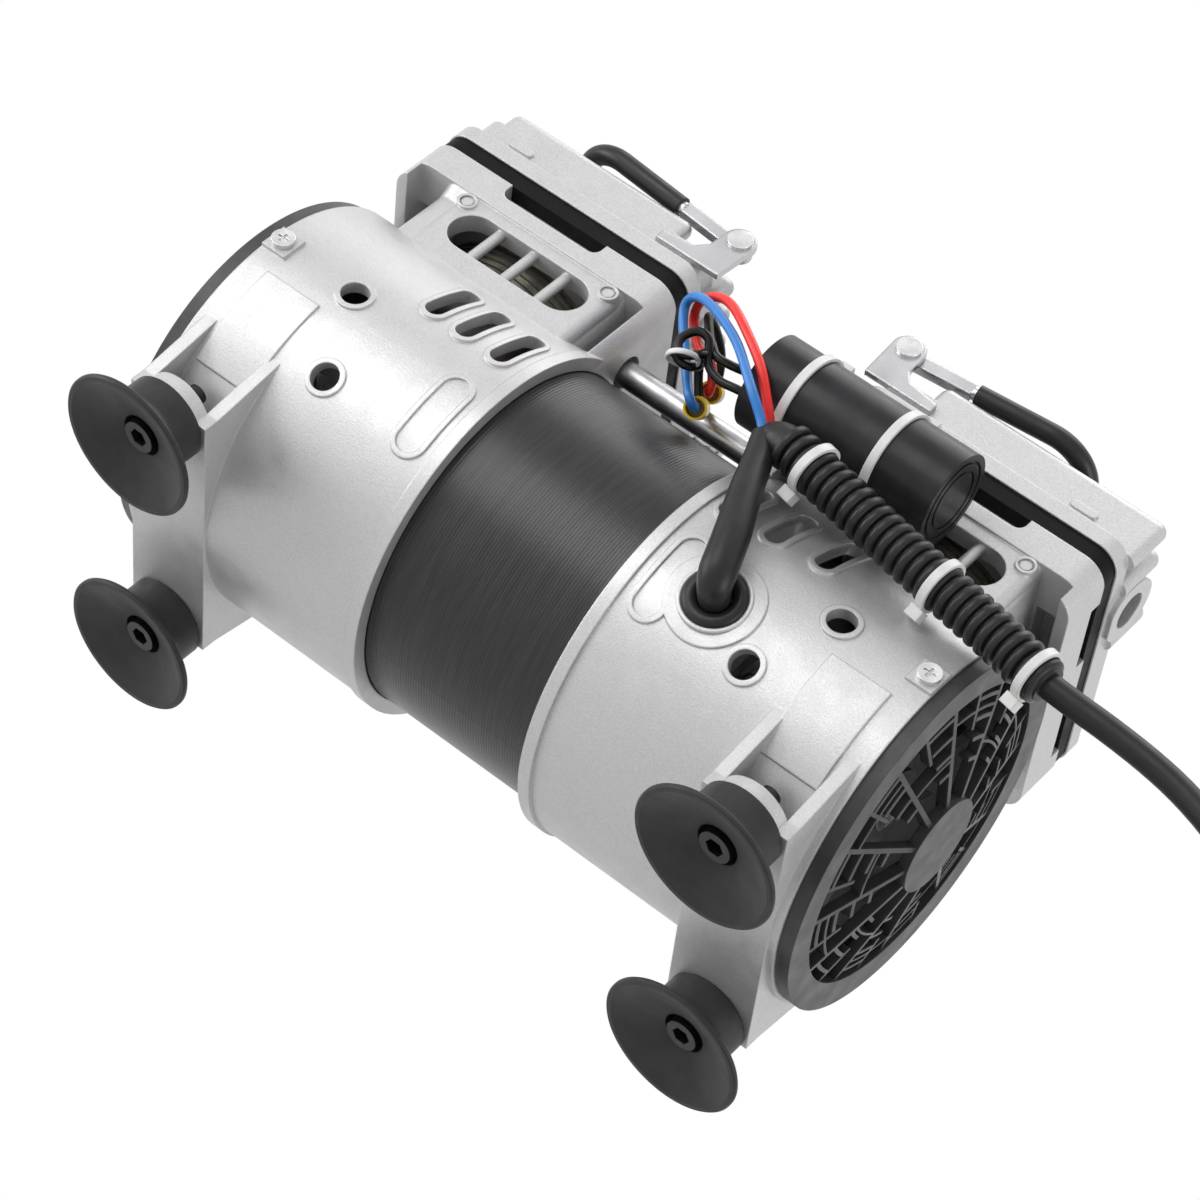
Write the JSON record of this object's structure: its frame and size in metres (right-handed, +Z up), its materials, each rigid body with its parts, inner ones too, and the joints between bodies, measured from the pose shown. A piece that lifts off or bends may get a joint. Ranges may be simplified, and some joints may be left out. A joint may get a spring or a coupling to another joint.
{
  "type": "vacuum pump",
  "caption": "Oil-free piston vacuum pump: cylinder blocks with finned heads on a round motor, fan guards, folding handles, capacitor, mains cord and rubber suction feet.",
  "frame": {"origin": "on the floor, under the middle of the outer box of the pump without its free cord", "axes": "+X along the motor shaft, -Y the front with capacitor and cord, +Z up to the heads"},
  "size_m": [0.49, 0.1414, 0.1909],
  "materials": {
    "cast_alloy": "sand-textured die casting",
    "stator_paint": "satin black over fine laminations",
    "copper_winding": "varnished copper wire",
    "bearing_steel": "ground",
    "guard_plastic": "satin",
    "bright_screw": "bright zinc",
    "anodised_sleeve": "hard anodised, fine turning lines",
    "black_plate": "black anodised",
    "gasket_rubber": "matt",
    "black_screw": "black oxide",
    "foot_rubber": "matt black",
    "rotor_steel": "turned",
    "fan_plastic": "satin",
    "piston_alloy": "cast and turned",
    "seal_ptfe": "filled fluoropolymer",
    "handle_chrome": "bright plated",
    "grip_rubber": "smooth sleeve",
    "capacitor_case": "satin",
    "tie_nylon": "white nylon",
    "sleeve_vinyl": "soft vinyl",
    "blue_wire": "vinyl",
    "red_wire": "vinyl",
    "black_wire": "vinyl",
    "yellow_terminal": "vinyl",
    "cord_rubber": "satin"
  },
  "bodies": {
    "pump_frame": {"left_housing": "cast_alloy", "right_housing": "cast_alloy", "stator_core": "stator_paint", "stator_windings": "copper_winding", "motor_bearings": "bearing_steel", "left_grille": "guard_plastic", "right_grille": "guard_plastic", "grille_screws": "bright_screw", "left_cylinder": "anodised_sleeve", "right_cylinder": "anodised_sleeve", "left_valve_plate": "black_plate", "right_valve_plate": "black_plate", "left_gasket": "gasket_rubber", "right_gasket": "gasket_rubber", "reed_valves": "bearing_steel", "left_head": "cast_alloy", "right_head": "cast_alloy", "head_bolts": "black_screw", "transfer_tube": "bright_screw", "tube_seals": "gasket_rubber", "left_front_foot": "foot_rubber", "left_rear_foot": "foot_rubber", "right_front_foot": "foot_rubber", "right_rear_foot": "foot_rubber", "foot_screws": "black_screw", "left_handle_bracket": "handle_chrome", "right_handle_bracket": "handle_chrome", "handle_pins": "bright_screw", "capacitor": "capacitor_case", "capacitor_ties": "tie_nylon", "grommet": "gasket_rubber", "lead_sleeve": "sleeve_vinyl", "blue_lead": "blue_wire", "red_lead": "red_wire", "black_leads": "black_wire", "terminals": "yellow_terminal", "conduit": "sleeve_vinyl", "conduit_ties": "tie_nylon", "mains_cord": "cord_rubber", "cord_coil": "cord_rubber", "coil_tie": "tie_nylon", "plug": "cord_rubber"},
    "shaft_group": {"shaft": "bearing_steel", "rotor_core": "rotor_steel", "left_fan": "fan_plastic", "right_fan": "fan_plastic", "left_eccentric": "rotor_steel", "right_eccentric": "rotor_steel", "left_rod_bearing": "bearing_steel", "right_rod_bearing": "bearing_steel"},
    "left_piston_group": {"left_piston": "piston_alloy", "left_piston_seal": "seal_ptfe", "left_piston_clamp": "piston_alloy"},
    "right_piston_group": {"right_piston": "piston_alloy", "right_piston_seal": "seal_ptfe", "right_piston_clamp": "piston_alloy"},
    "left_handle": {"left_bail": "handle_chrome", "left_grip": "grip_rubber"},
    "right_handle": {"right_bail": "handle_chrome", "right_grip": "grip_rubber"}
  },
  "joints": [
    {"name": "shaft_spin", "type": "hinge", "parent": "pump_frame", "child": "shaft_group", "pos_m": [-0.0063, 0.0062, 0.0755], "axis": [1, 0, 0], "continuous": true},
    {"name": "left_piston_stroke", "type": "slide", "parent": "pump_frame", "child": "left_piston_group", "axis": [0, 0, 1], "range_m": [0, 0.008]},
    {"name": "right_piston_stroke", "type": "slide", "parent": "pump_frame", "child": "right_piston_group", "axis": [0, 0, 1], "range_m": [-0.008, 0]},
    {"name": "left_handle_fold", "type": "hinge", "parent": "pump_frame", "child": "left_handle", "pos_m": [-0.0373, 0.0062, 0.1812], "axis": [0, 1, 0], "range_deg": [0, 105]},
    {"name": "right_handle_fold", "type": "hinge", "parent": "pump_frame", "child": "right_handle", "pos_m": [0.0247, 0.0062, 0.1812], "axis": [0, -1, 0], "range_deg": [0, 105]}
  ]
}
